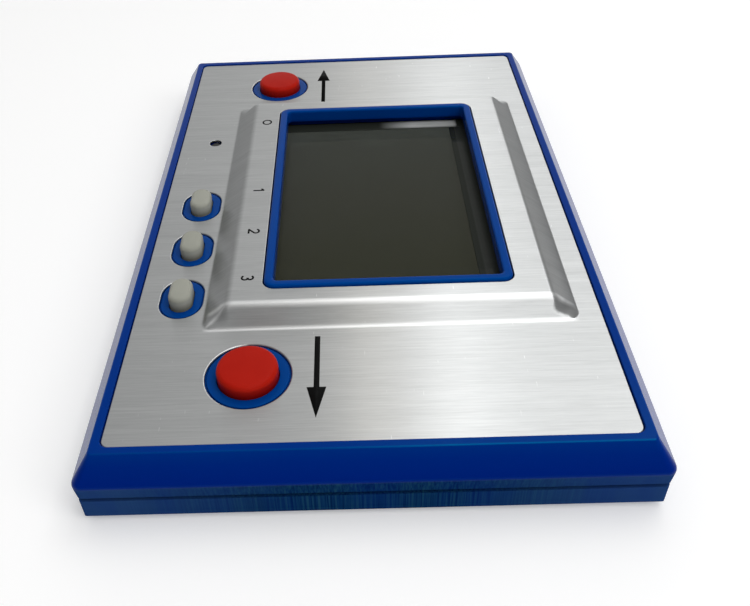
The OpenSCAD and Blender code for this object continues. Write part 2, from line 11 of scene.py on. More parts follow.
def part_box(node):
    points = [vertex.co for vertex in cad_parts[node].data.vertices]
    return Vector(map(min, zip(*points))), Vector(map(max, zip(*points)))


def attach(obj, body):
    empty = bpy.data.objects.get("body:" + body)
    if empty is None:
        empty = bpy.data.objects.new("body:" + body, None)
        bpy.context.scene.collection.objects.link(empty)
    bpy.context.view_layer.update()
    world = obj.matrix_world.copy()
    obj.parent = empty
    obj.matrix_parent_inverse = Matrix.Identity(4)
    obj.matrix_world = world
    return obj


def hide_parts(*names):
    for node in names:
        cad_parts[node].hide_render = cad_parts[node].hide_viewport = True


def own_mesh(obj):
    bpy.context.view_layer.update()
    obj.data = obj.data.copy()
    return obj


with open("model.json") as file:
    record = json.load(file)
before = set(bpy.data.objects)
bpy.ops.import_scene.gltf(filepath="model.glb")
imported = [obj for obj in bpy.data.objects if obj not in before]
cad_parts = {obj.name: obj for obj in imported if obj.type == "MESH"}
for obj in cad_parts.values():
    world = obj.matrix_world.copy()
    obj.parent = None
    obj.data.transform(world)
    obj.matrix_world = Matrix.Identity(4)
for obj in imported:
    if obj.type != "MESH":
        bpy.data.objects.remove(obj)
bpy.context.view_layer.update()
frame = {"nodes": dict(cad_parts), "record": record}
scene = bpy.context.scene
mm = 0.001  # sizes below are in millimetres, and become metres when a mesh is made
mergeDistance = 0.0005
samePoint = 1e-6  # points of an outline nearer than this are one
leastRadius = 0.02  # of a corner, so that no ring shrinks to a point
normalWeight = 80  # above 50, large faces count for more in the normals of their corners
noiseSpan = (0.3, 0.7)  # where most values of a noise lie
mouldedGrain = {"cloud": (125,) * 3, "fine": (1500,) * 3}  # features per metre
print("stage: frame loaded,", len(frame["nodes"]), "nodes")


def nodeBox(name):  # lowest and highest corner of a CAD node, in millimetres
    low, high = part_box(name)
    return np.array(low) / mm, np.array(high) / mm


# camera, solved from the edges of the case and the sheet in the photograph
cameraSetup = {
    "place": (94.199, -0.945, 73.008),
    "azimuth": 91.388,
    "elevation": 39.478,
    "roll": -2.655,
    "focalPixels": 820.018,
    "axisPixel": (340.631, 269.608),  # where the optical axis meets the image
    "imageSize": (750, 606),
    "sensorWidth": 36.0,
    "clip": (0.005, 20.0),  # in metres
}


def setCamera(c):
    turn, tilt, roll = (math.radians(c[k]) for k in ("azimuth", "elevation", "roll"))
    back = np.array([math.sin(turn) * math.cos(tilt), -math.cos(turn) * math.cos(tilt), math.sin(tilt)])
    level = np.cross([0, 0, 1], back)
    level /= np.linalg.norm(level)
    upright = np.cross(back, level)
    right = math.cos(roll) * level + math.sin(roll) * upright
    up = math.cos(roll) * upright - math.sin(roll) * level
    width, height = c["imageSize"]
    data = bpy.data.cameras.new("photoCamera")
    data.sensor_width = c["sensorWidth"]
    data.lens = c["focalPixels"] * c["sensorWidth"] / width
    data.shift_x = (width / 2 - c["axisPixel"][0]) / width
    data.shift_y = (c["axisPixel"][1] - height / 2) / width
    data.clip_start, data.clip_end = c["clip"]
    camera = bpy.data.objects.new("photoCamera", data)
    scene.collection.objects.link(camera)
    turned = Matrix(np.column_stack([right, up, back]).tolist()).to_4x4()
    camera.matrix_world = Matrix.Translation(np.array(c["place"]) * mm) @ turned
    scene.camera = camera


setCamera(cameraSetup)
print("stage: camera set")


# An outline is a rectangle with quarter circles at its corners, so a circle and a round-ended slot are too
def outline(centre, half, radius):
    return {"centre": np.array(centre, float), "half": np.array(half, float), "radius": float(radius)}


def grown(shape, by):
    return outline(shape["centre"], shape["half"] + by, max(shape["radius"] + by, leastRadius))


# Ring of points: the corner arc's centre plus the radius times the cosine and sine of the angle,
# anticlockwise, for any number of outlines at once (one row of points for each)
def ringPoints(halfX, halfY, radius, arcSteps=8):
    halfX, halfY, radius = (np.atleast_1d(np.asarray(v, float))[:, None] for v in (halfX, halfY, radius))
    quarter = np.linspace(0, np.pi / 2, arcSteps + 1)
    angle = (quarter[None, :] + np.arange(4)[:, None] * np.pi / 2).ravel()
    signX = np.repeat([1, -1, -1, 1], arcSteps + 1)
    signY = np.repeat([1, 1, -1, -1], arcSteps + 1)
    x = signX * (halfX - radius) + radius * np.cos(angle)
    y = signY * (halfY - radius) + radius * np.sin(angle)
    return np.stack([x, y], -1)


def outlinePoints(shape, arcSteps=8):  # one ring, without the doubled points where arcs meet
    ring = ringPoints(*shape["half"], shape["radius"], arcSteps)[0]
    return ring[np.linalg.norm(ring - np.roll(ring, 1, 0), axis=1) > samePoint] + shape["centre"]


# Signed distance to an outline: past the straight sides, the distance to the corner's centre less the radius
def outlineDistance(shape, xy):
    past = np.abs(xy - shape["centre"]) - (shape["half"] - shape["radius"])
    return np.linalg.norm(np.maximum(past, 0), axis=-1) + np.minimum(past.max(-1), 0) - shape["radius"]


# Softened profile: near each corner the line is (1-t)^2 A + 2t(1-t) C + t^2 B, from A before the corner C to
# B after it, each one cut away from C; every column of the profile is carried along
def softProfile(points, cuts, steps=4, closed=True):
    points = np.asarray(points, float)
    cuts = np.asarray(cuts, float)[:, None]
    before = np.roll(points, 1, 0) - points
    after = np.roll(points, -1, 0) - points
    start = points + before * cuts / np.linalg.norm(before[:, :2], axis=1, keepdims=True)
    end = points + after * cuts / np.linalg.norm(after[:, :2], axis=1, keepdims=True)
    t = np.linspace(0, 1, steps + 1)[None, :, None]
    curve = (1 - t) ** 2 * start[:, None] + 2 * t * (1 - t) * points[:, None] + t ** 2 * end[:, None]
    if not closed:
        curve[0] = points[0]
        curve[-1] = points[-1]
        return np.concatenate([curve[0, :1], curve[1:-1].reshape(-1, points.shape[1]), curve[-1, :1]])
    return curve.reshape(-1, points.shape[1])


# Faces of a grid of rings: each joins a point to the next round the ring and to the ring above
def ringFaces(rows, columns, closed=False):
    i = np.arange(rows if closed else rows - 1)[:, None]
    j = np.arange(columns)[None, :]
    nextI = (i + 1) % rows
    nextJ = (j + 1) % columns
    corners = [i * columns + j, i * columns + nextJ, nextI * columns + nextJ, nextI * columns + j]
    return np.stack(np.broadcast_arrays(*corners), -1).reshape(-1, 4).tolist()


# Profile carried round an outline: each row of the profile is (inset, height, corner radius), and its ring is
# the outline drawn in by the inset; an open profile gets one face over its last ring and one over its first
def carryRound(shape, profile, closed=True, arcSteps=8):
    inset, height, radius = profile.T
    flat = ringPoints(shape["half"][0] - inset, shape["half"][1] - inset, radius, arcSteps) + shape["centre"]
    rows, columns = flat.shape[:2]
    level = np.broadcast_to(height[:, None, None], (rows, columns, 1))
    points = np.concatenate([flat, level], -1).reshape(-1, 3)
    faces = ringFaces(rows, columns, closed)
    if not closed:
        faces += [list(range((rows - 1) * columns, rows * columns)), list(range(columns))[::-1]]
    return points, faces


# Sheet between an outer outline and its holes: loops of (x, y, z) are the fixed lines, a Delaunay
# triangulation fills between them, and the triangles outside the outline or inside a hole are left out
def sheetTriangles(loops, outer, holes):
    points = np.concatenate(loops)
    starts = np.cumsum([0] + [len(loop) for loop in loops[:-1]])
    numbers = [start + np.arange(len(loop)) for start, loop in zip(starts, loops)]
    edges = np.concatenate([np.column_stack([n, np.roll(n, -1)]) for n in numbers]).tolist()
    found = delaunay_2d_cdt(points[:, :2].tolist(), edges, [], 0, samePoint, False)
    triangles = np.array(found[2])
    assert len(found[0]) == len(points), "two loops of a sheet cross"
    a, b, c = (points[triangles[:, k], :2] for k in range(3))
    middle = (a + b + c) / 3
    turnsLeft = (b - a)[:, 0] * (c - a)[:, 1] - (b - a)[:, 1] * (c - a)[:, 0] > 0
    triangles = np.where(turnsLeft[:, None], triangles, triangles[:, ::-1])
    keep = outlineDistance(outer, middle) < 0
    for hole in holes:
        keep &= outlineDistance(hole, middle) > 0
    return points, triangles[keep]


# Closed slab: the sheet, a copy of it one thickness lower turned over, and a wall along every open edge
def thickened(points, triangles, thickness):
    count = len(points)
    lower = points - [0, 0, thickness]
    start = triangles.ravel()
    end = np.roll(triangles, -1, 1).ravel()
    openEdge = ~np.isin(start * count + end, end * count + start)
    a, b = start[openEdge], end[openEdge]
    walls = np.stack([a, a + count, b + count, b], -1)
    flats = np.concatenate([triangles, triangles[:, ::-1] + count])
    return np.concatenate([points, lower]), flats.tolist() + walls.tolist()


# Rounded edge of a sheet as steps of (way into the sheet, way down): a quarter circle, and one more step, at
# a multiple of the radius, that keeps the rest flat
def roundEdge(radius, steps=2, flatFrom=1.6):
    angle = np.linspace(0, np.pi / 2, steps + 1)
    return [*zip(radius * (1 - np.cos(angle)), radius * (1 - np.sin(angle))), (radius * flatFrom, 0)]


def edgeLoops(shape, top, edge, side, arcSteps=8):  # side is 1 for an outer edge and -1 for a hole
    rings = []
    for across, down in edge:
        flat = outlinePoints(grown(shape, -side * across), arcSteps)
        rings.append(np.column_stack([flat, np.full(len(flat), top - down)]))
    return rings


def joined(shells):  # several closed shells as one list of points and faces
    starts = np.cumsum([0] + [len(points) for points, _ in shells[:-1]])
    faces = [(np.array(face) + start).tolist() for (_, f), start in zip(shells, starts) for face in f]
    return np.concatenate([points for points, _ in shells]), faces


def makePiece(name, shell, body, material, node=None, evenNormals=True):
    points, faces = shell
    mesh = bpy.data.meshes.new(name)
    mesh.from_pydata((np.asarray(points) * mm).tolist(), [], faces)
    merged = bmesh.new()
    merged.from_mesh(mesh)
    bmesh.ops.remove_doubles(merged, verts=merged.verts, dist=mergeDistance * mm)
    merged.to_mesh(mesh)
    merged.free()
    mesh.polygons.foreach_set("use_smooth", np.ones(len(mesh.polygons), bool))
    mesh.materials.append(material)
    mesh.update()
    piece = bpy.data.objects.new(name, mesh)
    scene.collection.objects.link(piece)
    if evenNormals:
        weighted = piece.modifiers.new("evenNormals", "WEIGHTED_NORMAL")
        weighted.keep_sharp = True
        weighted.weight = normalWeight
    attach(piece, body)
    if node:
        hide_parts(node)
    return piece


def meshPlaces(mesh):
    places = np.empty(len(mesh.vertices) * 3)
    mesh.vertices.foreach_get("co", places)
    return places.reshape(-1, 3) / mm


def addAttribute(piece, name, values):  # one number for each point
    piece.data.attributes.new(name, "FLOAT", "POINT").data.foreach_set("value", values)


# Wear and highlight: one on the given lines, falling evenly to nothing over each one's reach, by the distance
# to the line
def addWearAndHighlight(piece, lines):  # each line is (start, end, reach)
    places = meshPlaces(piece.data)
    wearAndHighlight = np.zeros(len(places))
    for start, end, reach in lines:
        way = np.asarray(end) - start
        share = np.clip((places - start) @ way / (way @ way), 0, 1)
        wearAndHighlight = np.maximum(wearAndHighlight, 1 - np.linalg.norm(places - start - share[:, None] * way, axis=1) / reach)
    addAttribute(piece, "wearAndHighlight", wearAndHighlight)


# materials, whose noise scales are in features per metre
def newMaterial(name):
    material = bpy.data.materials.new(name)
    material.use_nodes = True
    tree = material.node_tree
    return material, tree, tree.nodes["Principled BSDF"]


def setSockets(node, sockets):  # each is given a number, a colour or another node's output
    for name, value in sockets.items():
        if isinstance(value, bpy.types.NodeSocket):
            node.id_data.links.new(value, node.inputs[name])
        else:
            node.inputs[name].default_value = value


def addNode(tree, kind, sockets=None, **settings):
    node = tree.nodes.new(kind)
    for name, value in settings.items():
        setattr(node, name, value)
    setSockets(node, sockets or {})
    return node


# Noise on Object coordinates, stretched by a scale for each axis
def stretchedNoise(tree, scale, detail=3.0, roughness=0.6):
    place = addNode(tree, "ShaderNodeTexCoord").outputs["Object"]
    stretched = addNode(tree, "ShaderNodeMapping", {"Vector": place, "Scale": scale}).outputs["Vector"]
    sockets = {"Vector": stretched, "Scale": 1.0, "Detail": detail, "Roughness": roughness}
    return addNode(tree, "ShaderNodeTexNoise", sockets).outputs["Fac"]


def objectAxes(tree):  # the outputs X, Y and Z of the Object coordinates
    place = addNode(tree, "ShaderNodeTexCoord").outputs["Object"]
    return addNode(tree, "ShaderNodeSeparateXYZ", {"Vector": place}).outputs


def attribute(tree, name):
    return addNode(tree, "ShaderNodeAttribute", attribute_name=name).outputs["Fac"]


def ramp(factor, stops):  # stops are (position, colour)
    node = addNode(factor.id_data, "ShaderNodeValToRGB", {"Fac": factor})
    stops = list(stops)
    while len(node.color_ramp.elements) < len(stops):
        node.color_ramp.elements.new(0.5)
    for element, (position, colour) in zip(node.color_ramp.elements, stops):
        element.position = position
        element.color = (*colour, 1)
    return node.outputs["Color"]


def mapped(value, low, high, fromLow=0.0, fromHigh=1.0):
    sockets = {"Value": value, "From Min": fromLow, "From Max": fromHigh, "To Min": low, "To Max": high}
    return addNode(value.id_data, "ShaderNodeMapRange", sockets).outputs["Result"]


def mixed(share, colourA, colourB):
    sockets = {"Factor": share, "A": colourA, "B": colourB}
    return addNode(share.id_data, "ShaderNodeMix", sockets, data_type="RGBA").outputs["Result"]


def mathNode(operation, *values):
    sockets = dict(enumerate(values))
    return addNode(values[0].id_data, "ShaderNodeMath", sockets, operation=operation).outputs["Value"]


# One near a given value of a coordinate (in millimetres), falling to nothing between a share of the reach
# and all of it
def nearLine(coordinate, middle, reach, flatShare=0.0):
    away = mathNode("ABSOLUTE", mathNode("SUBTRACT", coordinate, middle * mm))
    return mapped(away, 1.0, 0.0, reach * flatShare * mm, reach * mm)


def bumped(height, distance):
    sockets = {"Height": height, "Distance": distance, "Strength": 1.0}
    return addNode(height.id_data, "ShaderNodeBump", sockets).outputs["Normal"]


# Plain moulded or coated surface: two close colours mixed by a noise, with a roughness range and a fine bump
def mouldedFinish(name, colourA, colourB, roughness, bump=0.000004, gloss=0.5, metallic=0.0):
    material, tree, shader = newMaterial(name)
    cloud = stretchedNoise(tree, mouldedGrain["cloud"])
    fine = stretchedNoise(tree, mouldedGrain["fine"], detail=2)
    setSockets(shader, {
        "Base Color": ramp(cloud, zip(noiseSpan, (colourA, colourB))),
        "Metallic": metallic,
        "Roughness": mapped(fine, *roughness),
        "Specular IOR Level": gloss,
    })
    if bump:
        setSockets(shader, {"Normal": bumped(fine, bump)})
    return material


blueFinish = {
    "cloud": (90, 90, 90),
    "grain": (2600, 2600, 2600),
    "drag": (4200, 4200, 60),
    "patches": (150, 150, 60),
    "tones": [(0.0, (0.0, 0.014, 0.21)), (0.35, (0.0, 0.019, 0.225)),  # from the widest line up, paler higher up as a painted reflection
              (0.57, (0.0, 0.028, 0.24)), (0.75, (0.0, 0.047, 0.28))],
    "cloudTone": 0.025,  # how far the cloud shifts the tone
    # paler tone of the rings in the wells: a painted reflection
    "well": (0.0, 0.045, 0.255, 1),
    "streaks": [(0.36, (0.001, 0.018, 0.08)), (0.5, (0.004, 0.036, 0.12)), (0.64, (0.012, 0.062, 0.13))],
    "dust": (0.021, 0.064, 0.2, 1),
    "dustShare": 0.9,
    "dustFrom": (0.008, 0.026),  # metres from the middle where the dust starts and where it is full
    "patchSpan": (0.4, 0.55),  # noise values between which the marks come up
    "patchShare": (0.8, 1.0),
    "marksFade": 0.3,  # below the widest line
    "marksLow": (0.02, 0.3),  # heights that keep the marks off the back
    "roughness": (0.16, 0.24),
    "gloss": 0.11,
    "glossTint": (0, 0.72, 1, 1),
    "bump": 0.000002,
}


# Blue moulding: the tone turns paler with height, a painted reflection on the upper faces, and the rings in
# the wells take a paler tone, a painted reflection too; the sides below the widest line carry upright drag
# marks, drawn by a noise stretched along z, that give way to plain dust at both ends
def blueMoulding(bandTop, top, f):
    material, tree, shader = newMaterial("blueMoulding")
    cloud = stretchedNoise(tree, f["cloud"])
    fine = stretchedNoise(tree, f["grain"], detail=2)
    drag = stretchedNoise(tree, f["drag"], detail=4, roughness=0.7)
    patches = stretchedNoise(tree, f["patches"], detail=2)
    axes = objectAxes(tree)
    height = mapped(axes["Z"], 0.0, 1.0, bandTop * mm, top * mm)
    paintedSheenTone = mathNode("ADD", height, mapped(cloud, -f["cloudTone"], f["cloudTone"], *noiseSpan))
    # painted reflection: paler with height, and paler on the rings in the wells
    body = mixed(attribute(tree, "inWell"), ramp(paintedSheenTone, f["tones"]), f["well"])
    belowWidest = mapped(axes["Z"], 1.0, 0.0, (bandTop - f["marksFade"]) * mm, bandTop * mm)
    offBack = mapped(axes["Z"], 0.0, 1.0, *(z * mm for z in f["marksLow"]))
    band = mathNode("MULTIPLY", belowWidest, offBack)
    dusty = mapped(mathNode("ABSOLUTE", axes["Y"]), 0.0, f["dustShare"], *f["dustFrom"])
    marks = mixed(dusty, ramp(drag, f["streaks"]), f["dust"])
    share = mathNode("MULTIPLY", band, mapped(patches, *f["patchShare"], *f["patchSpan"]))
    dullSides = mapped(band, f["gloss"], 0.0)
    gloss = mathNode("MAXIMUM", dullSides, attribute(tree, "wearAndHighlight"))  # the border's edge is polished
    setSockets(shader, {
        "Base Color": mixed(share, body, marks),
        "Roughness": mapped(fine, *f["roughness"]),
        "Specular IOR Level": f["gloss"],  # for an export that drops the link below
        "Specular Tint": f["glossTint"],
        "Normal": bumped(fine, f["bump"]),
    })
    setSockets(shader, {"Specular IOR Level": gloss})
    return material


sheetFinish = {
    "streaks": (5200, 150, 300),
    "bands": (700, 14, 120),
    "bandShift": (0.3, 0.7),  # what the bands add to the streaks
    "brushSpan": (0.65, 1.35),  # values of both together that take the tones below
    "nicks": (450, 2600, 400),
    "nickFrom": (0.72, 0.78),  # noise values where a nick starts and where it is full
    "nickShare": 0.6,
    "tones": [(0.1, (0.53, 0.542, 0.54)), (0.9, (0.7, 0.712, 0.71))],
    # pale colour of the nicks, which are wear, and of the bands at the folds, which are painted highlight
    # over some wear
    "paleWearAndHighlight": (0.96, 0.97, 0.97, 1),
    "roughness": (0.32, 0.38),
    "stretch": 1.0,  # of the gloss across the streaks
    "paleBandStretch": 0.4,
    "bump": 0.000003,
    "spanFlat": 0.95,  # share of a fold's length before its pale band, painted highlight over some wear, fades
}


# Brushed sheet: fine streaks along y change the colour and roughness, and the gloss is stretched across them
def brushedSheet(foldPlaces, foldReach, spanY, f):
    material, tree, shader = newMaterial("brushedSheet")
    streaks = stretchedNoise(tree, f["streaks"], detail=4, roughness=0.75)
    bands = stretchedNoise(tree, f["bands"], detail=3)
    nicks = mapped(stretchedNoise(tree, f["nicks"], detail=2), 0.0, f["nickShare"], *f["nickFrom"])
    brush = mathNode("ADD", streaks, mapped(bands, *f["bandShift"]))
    brushed = ramp(mapped(brush, 0.0, 1.0, *f["brushSpan"]), f["tones"])
    # pale bands along the folds and up the near corner: painted highlight over some wear; the nicks are wear
    fold = attribute(tree, "wearAndHighlight")
    axes = objectAxes(tree)
    inSpan = nearLine(axes["Y"], sum(spanY) / 2, (spanY[1] - spanY[0]) / 2, f["spanFlat"])
    for x, reach in zip(foldPlaces, foldReach):
        paleWearAndHighlight = mathNode("MULTIPLY", nearLine(axes["X"], x, reach), inSpan)
        fold = mathNode("MAXIMUM", fold, paleWearAndHighlight)
    wearAndHighlight = mathNode("MAXIMUM", fold, nicks)
    tangent = addNode(tree, "ShaderNodeTangent", direction_type="UV_MAP", uv_map="brushed")
    setSockets(shader, {
        "Base Color": mixed(wearAndHighlight, brushed, f["paleWearAndHighlight"]),
        "Metallic": 1.0,
        "Roughness": mapped(streaks, *f["roughness"]),
        "Anisotropic": f["stretch"],  # for an export that drops the link below
        "Tangent": tangent.outputs["Tangent"],
        "Normal": bumped(streaks, f["bump"]),
    })
    setSockets(shader, {"Anisotropic": mapped(fold, f["stretch"], f["paleBandStretch"])})
    return material


displayFinish = {
    "smear": (260, 140, 140),
    "smearSpan": (0.4, 0.8),  # noise values between which a smear dulls the gloss
    "lensTones": [(0.3, (0.0, 0.0, 0.0)), (0.7, (0.001, 0.001, 0.001))],
    "lensRoughness": (0.01, 0.05),
    "lensDimming": 0.15,
    "filmTones": [(0.15, (0.074, 0.077, 0.053)), (0.5, (0.086, 0.089, 0.07)),  # from the near end on, paler towards the far end as a painted reflection
                  (0.83, (0.093, 0.1, 0.084)), (0.93, (0.115, 0.126, 0.109))],
    "filmRoughness": (0.02, 0.06),
    "smearTone": 0.04,  # how far the smear shifts the film's tone
    "gloss": 0.06,
    "margin": (900, 300, 900),
    "marginCloud": (0.8, 1.0),  # how the cloud scales the foil's share
    "marginTones": [(0.0, (0.032, 0.036, 0.03)), (1.0, (0.7, 0.72, 0.7))],  # dark strip and pale foil
    "marginRoughness": (0.03, 0.06),
}


# Clear lens: a thin smoked sheet that lets most light straight through and only dims it, because the gloss
# lies on the film under it
def clearLens(f):
    material, tree, shader = newMaterial("clearLens")
    smear = stretchedNoise(tree, f["smear"], detail=4)
    setSockets(shader, {
        "Base Color": ramp(smear, f["lensTones"]),
        "Roughness": mapped(smear, *f["lensRoughness"], *f["smearSpan"]),
        "IOR": 1.5,
        "Alpha": f["lensDimming"],
        "Specular IOR Level": 0.0,
    })
    return material


# Display film: dark, paler towards its far end as a painted reflection, and with a faint smear in its gloss
def displayFilm(farX, nearX, f):
    material, tree, shader = newMaterial("displayFilm")
    smear = stretchedNoise(tree, f["smear"], detail=4)
    toFar = mapped(objectAxes(tree)["X"], 1.0, 0.0, farX * mm, nearX * mm)
    # painted reflection: the tone pales towards the far end
    paintedReflectionTone = mathNode("ADD", toFar, mapped(smear, -f["smearTone"], f["smearTone"], *noiseSpan))
    setSockets(shader, {
        "Base Color": ramp(paintedReflectionTone, f["filmTones"]),
        "Roughness": mapped(smear, *f["filmRoughness"], *f["smearSpan"]),
        "Specular IOR Level": f["gloss"],
    })
    return material


# Display margin: a dark strip that gives way to pale foil by the piece's own share of bare foil
def displayMargin(f):
    material, tree, shader = newMaterial("displayMargin")
    cloud = stretchedNoise(tree, f["margin"])
    clouded = mapped(cloud, *f["marginCloud"], *noiseSpan)
    shade = mathNode("MULTIPLY", attribute(tree, "bare"), clouded)
    setSockets(shader, {
        "Base Color": ramp(shade, f["marginTones"]),
        "Roughness": mapped(cloud, *f["marginRoughness"]),
        "Specular IOR Level": f["gloss"],
    })
    return material


caseHigh = nodeBox("front_case")[1]
sheetHigh = nodeBox("face_plate")[1]
lensLow, lensHigh = nodeBox("display_window")
lensMiddle = (lensLow + lensHigh)[:2] / 2
lensHalf = (lensHigh - lensLow)[:2] / 2

caseShape = {
    "bevelRun": 2.0,  # how far the front bevel leans in
    "bevelHeight": 2.95,
    "sideDraft": 0.3,  # how far the band below the bevel leans in
    "borderAboveSheet": 0.2,
    "sheetGap": 0.1,
    "deckBelowSheet": 0.4,  # from the sheet's flat top to the deck that the wells show
    "deckThickness": 1.4,
    "deckReach": 0.3,  # how far the deck runs into the wall
    "deckLap": 0.2,  # and the wall's ledge above the deck's underside
    "wall": 1.5,
    "innerRadius": 0.5,
    "cornerRadius": 1.1,
    "borderCornerRadius": 0.5,
    "footCornerRadius": 0.5,
    "split": 3.4,  # height of the line between the two halves
    "splitGap": 0.45,  # and its dark gap
    "edges": (0.05, 0.3, 0.14, 0.1),  # softness at the split, the widest line, the border and the sheet
    "hiddenEdge": 0.05,
    "holeEdge": 0.08,
    "edgeWear": 0.16,  # reach of the polish along the border's outer edge
    "wellDepth": 0.4,  # below the deck, as far as the wells' paler tone, a painted reflection, goes
}
sheetShape = {
    "thickness": 0.3,
    "cornerRadius": 0.9,
    "panelHeight": 2.1,
    "panelRun": (2.25, 2.9),  # of the slopes at the ends and along the long sides
    "panelHalf": (23.9, 18.7),  # flat top of the raised panel
    "panelMiddle": (0.0, 2.75),
    "footRadius": 1.4,
    "topRadius": 0.5,
    "cornerSwell": 1.2,  # how much rounder the corners are a third of the way up the slope
    "slopeRings": 8,
    "foldSteps": 6,
    "footBend": 0.18,  # length of each fold's curve on either side of its line
    "topBend": 0.4,
    "bendMargin": 1.1,  # of those lengths, kept flat beyond the folds
    "foldWearAndHighlight": (0.32, 0.5),  # half widths of the pale bands, painted highlight over some wear, along the foot and the top fold at the near end
    "cornerWearAndHighlight": 0.24,
    "edgeRadius": 0.06,
    "wellEdge": ((0, 0.1), (0.03, 0.06), (0.13, 0), (0.16, 0)),  # drawn in by the punch: way in, way down
    "keyEdge": ((0, 0.1), (0.02, 0.06), (0.09, 0), (0.12, 0)),
    "uvSpan": 100,  # length that takes up the whole of the UV square
}
frameShape = {
    "rim": 1.1,  # width
    "lap": 0.9,  # lens under the rim
    "outerRadius": 1.3,
    "edge": 0.35,
    "sheetGap": 0.15,
    "lensGap": 0.02,
    "pocketGap": 0.2,  # from the lens's opening to the hole of the deck under it
    "pocketRadius": 0.5,
}
capShape = {
    "flange": 1.0,
    "flangeThickness": 0.7,
    "button": (0.55, 0.16),  # soft radius and crown
    "key": (0.5, 0.12),
    "reset": (0.15, 0.05),
    "guideGap": 0.2,
    "resetGap": 0.45,  # wider, so that the hole round the pin is dark
    "buttonWell": (1.35, 1.35),  # from a cap to the edge of its hole in the sheet, along x and y
    "keyWell": (1.35, 1.25),
    "ringGap": 0.2,  # from that edge to the ring of the case inside it
    "ringSunk": 0.1,
    "ringEdge": 0.08,
    "ringDepth": 0.3,  # of its foot below the deck
    "capGap": 0.07,  # between a cap and its ring
    "softSteps": 10,  # rings of the soft edge
    "crownSteps": 6,  # and of the crown inside it
    "crownReach": 0.97,  # share of the way to the middle where the last ring is closed by one face
    "sideStep": 0.05,  # a ring this far below the soft edge keeps the side straight
}

flatTop = sheetHigh[2] - sheetShape["panelHeight"]
borderTop = flatTop + caseShape["borderAboveSheet"]
widest = borderTop - caseShape["bevelHeight"]
deckTop = flatTop - caseShape["deckBelowSheet"]
deckUnder = deckTop - caseShape["deckThickness"]
rimTop = caseHigh[2]


def capOutline(node):  # a cap's outline in plan, without the flange that holds it in the case
    low, high = nodeBox(node)
    half = (high - low)[:2] / 2 - capShape["flange"]
    return outline((low + high)[:2] / 2, half, half.min())


def wellOutline(cap, margin):  # the hole of the sheet round a cap
    half = cap["half"] + margin
    return outline(cap["centre"], half, half.min())


buttonNodes = {"left_button": "left_thumb", "right_button": "right_thumb"}
keyNodes = {"select_key_1": "select_1", "select_key_2": "select_2", "clock_key": "clock"}
buttonOutlines = [capOutline(n) for n in buttonNodes]
keyOutlines = [capOutline(n) for n in keyNodes]
capOutlines = buttonOutlines + keyOutlines
resetOutline = capOutline("reset_button")
wells = [wellOutline(o, capShape["buttonWell"]) for o in buttonOutlines]
wells += [wellOutline(o, capShape["keyWell"]) for o in keyOutlines]

caseBlue = blueMoulding(widest, rimTop, blueFinish)

# front case: the wall's profile goes up the outside, over the border and down into the sheet's recess
caseOutline = outline((0, 0), caseHigh[:2], caseShape["cornerRadius"])
recess = caseHigh[0] - sheetHigh[0] - caseShape["sheetGap"]
recessRadius = sheetShape["cornerRadius"] + caseShape["sheetGap"]
wallInset = caseShape["sideDraft"] + caseShape["wall"]
wallFoot = caseShape["split"] + caseShape["splitGap"]
ledge = deckUnder + caseShape["deckLap"]
wallProfile = softProfile(
    [  # inset, height, corner radius
        (caseShape["sideDraft"], wallFoot, caseShape["footCornerRadius"]),
        (0, widest, caseShape["cornerRadius"]),
        (caseShape["bevelRun"], borderTop, caseShape["borderCornerRadius"]),
        (recess, borderTop, recessRadius),
        (recess, ledge, recessRadius),
        (wallInset, ledge, caseShape["innerRadius"]),
        (wallInset, wallFoot, caseShape["innerRadius"]),
    ],
    cuts=[*caseShape["edges"], *[caseShape["hiddenEdge"]] * 3],
)
wallShell = carryRound(caseOutline, wallProfile)

deckOutline = outline((0, 0), caseHigh[:2] - recess + caseShape["deckReach"], recessRadius)
gap = capShape["guideGap"]
openingHalf = lensHalf - frameShape["lap"]
pocketHole = outline(lensMiddle, openingHalf + frameShape["pocketGap"], frameShape["pocketRadius"])
deckHoles = [grown(o, gap) for o in capOutlines]
deckHoles += [grown(resetOutline, capShape["resetGap"]), pocketHole]
holeEdge = roundEdge(caseShape["holeEdge"])
deckLoops = [ring for o in deckHoles for ring in edgeLoops(o, deckTop, holeEdge, -1)]
deckEdge = outlinePoints(deckOutline)
deckLoops.append(np.column_stack([deckEdge, np.full(len(deckEdge), deckTop)]))
deckShell = thickened(*sheetTriangles(deckLoops, deckOutline, deckHoles), caseShape["deckThickness"])

# window frame: up the outside, over the rim, down to the lens, and back over the lens's edge to the deck
rim = frameShape["rim"]
rimRadius = frameShape["outerRadius"]
rimOutline = outline(lensMiddle, openingHalf + rim, rimRadius)
overLens = lensHigh[2] + frameShape["lensGap"]
besideLens = rim - frameShape["lap"]
rimProfile = softProfile(
    [
        (0, deckTop, rimRadius),
        (0, rimTop, rimRadius),
        (rim, rimTop, rimRadius / 2),
        (rim, overLens, rimRadius / 2),
        (besideLens, overLens, frameShape["pocketRadius"]),
        (besideLens, deckTop, frameShape["pocketRadius"]),
    ],
    cuts=[caseShape["hiddenEdge"]] + [frameShape["edge"]] * 2 + [caseShape["hiddenEdge"]] * 3,
)
rimShell = carryRound(rimOutline, rimProfile)


# Ring of the case that fills a hole of the sheet round a cap: a softened rectangle carried round the hole's
# outline, drawn in by the gap
def ringShell(cap, well):
    shape = grown(well, -capShape["ringGap"])
    width = (well["half"] - cap["half"]).min() - capShape["ringGap"] - capShape["capGap"]
    top = flatTop - capShape["ringSunk"]
    foot = deckTop - capShape["ringDepth"]
    hidden = caseShape["hiddenEdge"]
    profile = softProfile([(0, foot, 0), (0, top, 0), (width, top, 0), (width, foot, 0)],
                          [hidden, capShape["ringEdge"], capShape["ringEdge"], hidden])
    profile[:, 2] = np.maximum(shape["radius"] - profile[:, 0], leastRadius)
    return carryRound(shape, profile, arcSteps=14)


